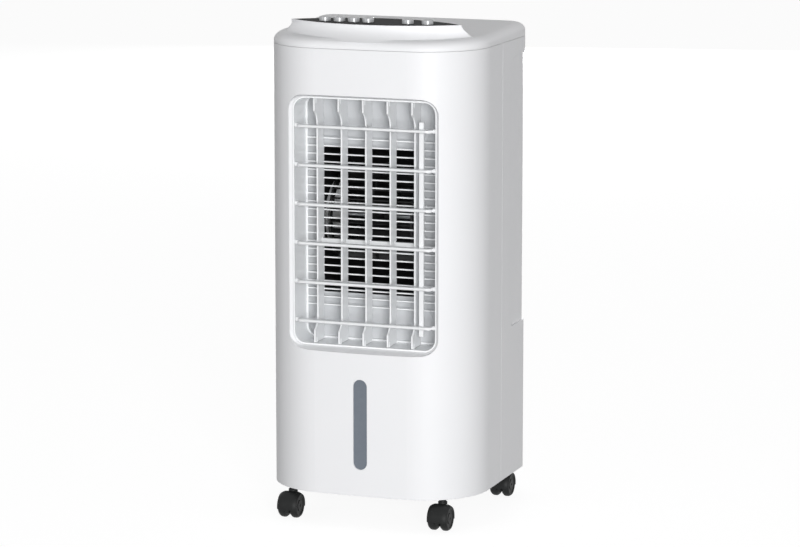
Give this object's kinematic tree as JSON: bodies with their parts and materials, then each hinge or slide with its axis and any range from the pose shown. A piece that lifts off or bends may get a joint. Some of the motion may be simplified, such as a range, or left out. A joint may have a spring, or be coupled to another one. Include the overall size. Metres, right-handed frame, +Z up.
{
  "type": "evaporative cooler",
  "caption": "Upright portable evaporative cooler: bowed case on casters with louvred front outlet, water window, lens-shaped button panel and pull-out tank behind.",
  "frame": {"origin": "on the floor under the middle of the case", "axes": "+Z up, -Y out of the bowed front with the louvres, +X to the right seen from the front"},
  "size_m": [0.25, 0.213, 0.5658],
  "materials": {
    "blower_black": "black polypropylene",
    "board_green": "printed board",
    "button_silver": "silver-plated caps",
    "case_white": "satin-gloss white ABS",
    "caster_black": "black nylon",
    "filter_mesh": "woven nylon mesh",
    "gland_black": "cable gland",
    "hose_clear": "soft vinyl hose",
    "inner_white": "satin white ABS",
    "motor_steel": "pressed steel can",
    "pad_paper": "corrugated cellulose",
    "panel_dark": "dark charcoal",
    "pump_grey": "dark pump casing",
    "steel": "zinc-plated steel",
    "switch_black": "tact switches",
    "window_clear": "smoke-grey clear plastic"
  },
  "bodies": {
    "chassis": {"front_housing": "case_white", "rear_housing": "case_white", "base_tray": "inner_white", "case_screws": "steel", "top_cover": "case_white", "control_panel": "panel_dark", "switch_board": "board_green", "tact_switches": "switch_black", "outlet_frame": "inner_white", "swing_motor": "motor_steel", "guard_grille": "inner_white", "outlet_duct": "inner_white", "blower_scroll": "blower_black", "motor_bracket": "steel", "fan_motor": "motor_steel", "window_lens": "window_clear", "cable_gland": "gland_black", "water_pump": "pump_grey", "pump_bracket": "steel", "pump_hose": "hose_clear", "water_distributor": "inner_white"},
    "fan": {"blower_wheel": "blower_black", "fan_shaft": "steel"},
    "tank": {"water_tank": "inner_white"},
    "cartridge": {"pad_frame": "inner_white", "cooling_pad": "pad_paper", "dust_filter": "filter_mesh", "rear_grille": "case_white"},
    "button_off": {"button_off": "button_silver"},
    "button_low": {"button_low": "button_silver"},
    "button_mid": {"button_mid": "button_silver"},
    "button_high": {"button_high": "button_silver"},
    "button_swing": {"button_swing": "button_silver"},
    "button_cool": {"button_cool": "button_silver"},
    "louvre_1": {"louvre_1": "inner_white"},
    "louvre_2": {"louvre_2": "inner_white"},
    "louvre_3": {"louvre_3": "inner_white"},
    "louvre_4": {"louvre_4": "inner_white"},
    "louvre_5": {"louvre_5": "inner_white"},
    "louvre_6": {"louvre_6": "inner_white"},
    "tie_bar": {"louvre_tie_bar": "inner_white"},
    "vane_1": {"vane_1": "inner_white"},
    "vane_2": {"vane_2": "inner_white"},
    "vane_3": {"vane_3": "inner_white"},
    "vane_4": {"vane_4": "inner_white"},
    "vane_5": {"vane_5": "inner_white"},
    "link_bar": {"vane_link_bar": "inner_white"},
    "caster_front_left": {"caster_hood_front_left": "caster_black", "caster_axle_front_left": "steel"},
    "wheels_front_left": {"caster_wheels_front_left": "caster_black"},
    "caster_front_right": {"caster_hood_front_right": "caster_black", "caster_axle_front_right": "steel"},
    "wheels_front_right": {"caster_wheels_front_right": "caster_black"},
    "caster_rear_left": {"caster_hood_rear_left": "caster_black", "caster_axle_rear_left": "steel"},
    "wheels_rear_left": {"caster_wheels_rear_left": "caster_black"},
    "caster_rear_right": {"caster_hood_rear_right": "caster_black", "caster_axle_rear_right": "steel"},
    "wheels_rear_right": {"caster_wheels_rear_right": "caster_black"}
  },
  "joints": [
    {"name": "button_off_press", "type": "slide", "parent": "chassis", "child": "button_off", "axis": [0, 0, -1], "range_m": [0, 0.0025], "stiffness_N_per_m": 200, "springref_m": -0.001},
    {"name": "button_low_press", "type": "slide", "parent": "chassis", "child": "button_low", "axis": [0, 0, -1], "range_m": [0, 0.0025], "stiffness_N_per_m": 200, "springref_m": -0.001},
    {"name": "button_mid_press", "type": "slide", "parent": "chassis", "child": "button_mid", "axis": [0, 0, -1], "range_m": [0, 0.0025], "stiffness_N_per_m": 200, "springref_m": -0.001},
    {"name": "button_high_press", "type": "slide", "parent": "chassis", "child": "button_high", "axis": [0, 0, -1], "range_m": [0, 0.0025], "stiffness_N_per_m": 200, "springref_m": -0.001},
    {"name": "button_swing_press", "type": "slide", "parent": "chassis", "child": "button_swing", "axis": [0, 0, -1], "range_m": [0, 0.0025], "stiffness_N_per_m": 200, "springref_m": -0.001},
    {"name": "button_cool_press", "type": "slide", "parent": "chassis", "child": "button_cool", "axis": [0, 0, -1], "range_m": [0, 0.0025], "stiffness_N_per_m": 200, "springref_m": -0.001},
    {"name": "louvre_1_tilt", "type": "hinge", "parent": "chassis", "child": "louvre_1", "pos_m": [0, -0.0885, 0.447], "axis": [1, 0, 0], "range_deg": [-25, 25]},
    {"name": "louvre_2_tilt", "type": "hinge", "parent": "chassis", "child": "louvre_2", "pos_m": [0, -0.0885, 0.4032], "axis": [1, 0, 0], "range_deg": [-25, 25]},
    {"name": "louvre_3_tilt", "type": "hinge", "parent": "chassis", "child": "louvre_3", "pos_m": [0, -0.0885, 0.3594], "axis": [1, 0, 0], "range_deg": [-25, 25]},
    {"name": "louvre_4_tilt", "type": "hinge", "parent": "chassis", "child": "louvre_4", "pos_m": [0, -0.0885, 0.3156], "axis": [1, 0, 0], "range_deg": [-25, 25]},
    {"name": "louvre_5_tilt", "type": "hinge", "parent": "chassis", "child": "louvre_5", "pos_m": [0, -0.0885, 0.2718], "axis": [1, 0, 0], "range_deg": [-25, 25]},
    {"name": "louvre_6_tilt", "type": "hinge", "parent": "chassis", "child": "louvre_6", "pos_m": [0, -0.0885, 0.228], "axis": [1, 0, 0], "range_deg": [-25, 25]},
    {"name": "tie_bar_pin", "type": "hinge", "parent": "louvre_1", "child": "tie_bar", "pos_m": [0.065, -0.0849, 0.447], "axis": [1, 0, 0], "range_deg": [-25, 25]},
    {"name": "vane_1_swing", "type": "hinge", "parent": "chassis", "child": "vane_1", "pos_m": [-0.0602, -0.0845, 0.34025], "axis": [0, 0, 1], "range_deg": [-30, 30]},
    {"name": "vane_2_swing", "type": "hinge", "parent": "chassis", "child": "vane_2", "pos_m": [-0.0314, -0.0845, 0.34025], "axis": [0, 0, 1], "range_deg": [-30, 30]},
    {"name": "vane_3_swing", "type": "hinge", "parent": "chassis", "child": "vane_3", "pos_m": [-0.0026, -0.0845, 0.34025], "axis": [0, 0, 1], "range_deg": [-30, 30]},
    {"name": "vane_4_swing", "type": "hinge", "parent": "chassis", "child": "vane_4", "pos_m": [0.0262, -0.0845, 0.34025], "axis": [0, 0, 1], "range_deg": [-30, 30]},
    {"name": "vane_5_swing", "type": "hinge", "parent": "chassis", "child": "vane_5", "pos_m": [0.055, -0.0845, 0.34025], "axis": [0, 0, 1], "range_deg": [-30, 30]},
    {"name": "link_bar_pin", "type": "hinge", "parent": "vane_3", "child": "link_bar", "pos_m": [-0.0026, -0.0645, 0.315], "axis": [0, 0, 1], "range_deg": [-30, 30]},
    {"name": "fan_spin", "type": "hinge", "parent": "chassis", "child": "fan", "pos_m": [-0.01, 0.005, 0.3348], "axis": [1, 0, 0], "continuous": true},
    {"name": "tank_slide", "type": "slide", "parent": "chassis", "child": "tank", "axis": [0, 1, 0], "range_m": [0, 0.12]},
    {"name": "cartridge_slide", "type": "slide", "parent": "chassis", "child": "cartridge", "axis": [0, 1, 0], "range_m": [0, 0.045]},
    {"name": "caster_front_left_swivel", "type": "hinge", "parent": "chassis", "child": "caster_front_left", "pos_m": [-0.0895, -0.083, 0.038], "axis": [0, 0, 1], "continuous": true},
    {"name": "wheels_front_left_roll", "type": "hinge", "parent": "caster_front_left", "child": "wheels_front_left", "pos_m": [-0.0895, -0.09, 0.014], "axis": [1, 0, 0], "continuous": true},
    {"name": "caster_front_right_swivel", "type": "hinge", "parent": "chassis", "child": "caster_front_right", "pos_m": [0.0895, -0.083, 0.038], "axis": [0, 0, 1], "continuous": true},
    {"name": "wheels_front_right_roll", "type": "hinge", "parent": "caster_front_right", "child": "wheels_front_right", "pos_m": [0.0895, -0.09, 0.014], "axis": [1, 0, 0], "continuous": true},
    {"name": "caster_rear_left_swivel", "type": "hinge", "parent": "chassis", "child": "caster_rear_left", "pos_m": [-0.103, 0.082, 0.038], "axis": [0, 0, 1], "continuous": true},
    {"name": "wheels_rear_left_roll", "type": "hinge", "parent": "caster_rear_left", "child": "wheels_rear_left", "pos_m": [-0.103, 0.089, 0.014], "axis": [1, 0, 0], "continuous": true},
    {"name": "caster_rear_right_swivel", "type": "hinge", "parent": "chassis", "child": "caster_rear_right", "pos_m": [0.103, 0.082, 0.038], "axis": [0, 0, 1], "continuous": true},
    {"name": "wheels_rear_right_roll", "type": "hinge", "parent": "caster_rear_right", "child": "wheels_rear_right", "pos_m": [0.103, 0.089, 0.014], "axis": [1, 0, 0], "continuous": true}
  ],
  "couplings": [
    {"joint": "louvre_2_tilt", "follows": "louvre_1_tilt", "ratio": 1},
    {"joint": "louvre_3_tilt", "follows": "louvre_1_tilt", "ratio": 1},
    {"joint": "louvre_4_tilt", "follows": "louvre_1_tilt", "ratio": 1},
    {"joint": "louvre_5_tilt", "follows": "louvre_1_tilt", "ratio": 1},
    {"joint": "louvre_6_tilt", "follows": "louvre_1_tilt", "ratio": 1},
    {"joint": "tie_bar_pin", "follows": "louvre_1_tilt", "ratio": -1},
    {"joint": "vane_1_swing", "follows": "vane_3_swing", "ratio": 1},
    {"joint": "vane_2_swing", "follows": "vane_3_swing", "ratio": 1},
    {"joint": "vane_4_swing", "follows": "vane_3_swing", "ratio": 1},
    {"joint": "vane_5_swing", "follows": "vane_3_swing", "ratio": 1},
    {"joint": "link_bar_pin", "follows": "vane_3_swing", "ratio": -1}
  ]
}
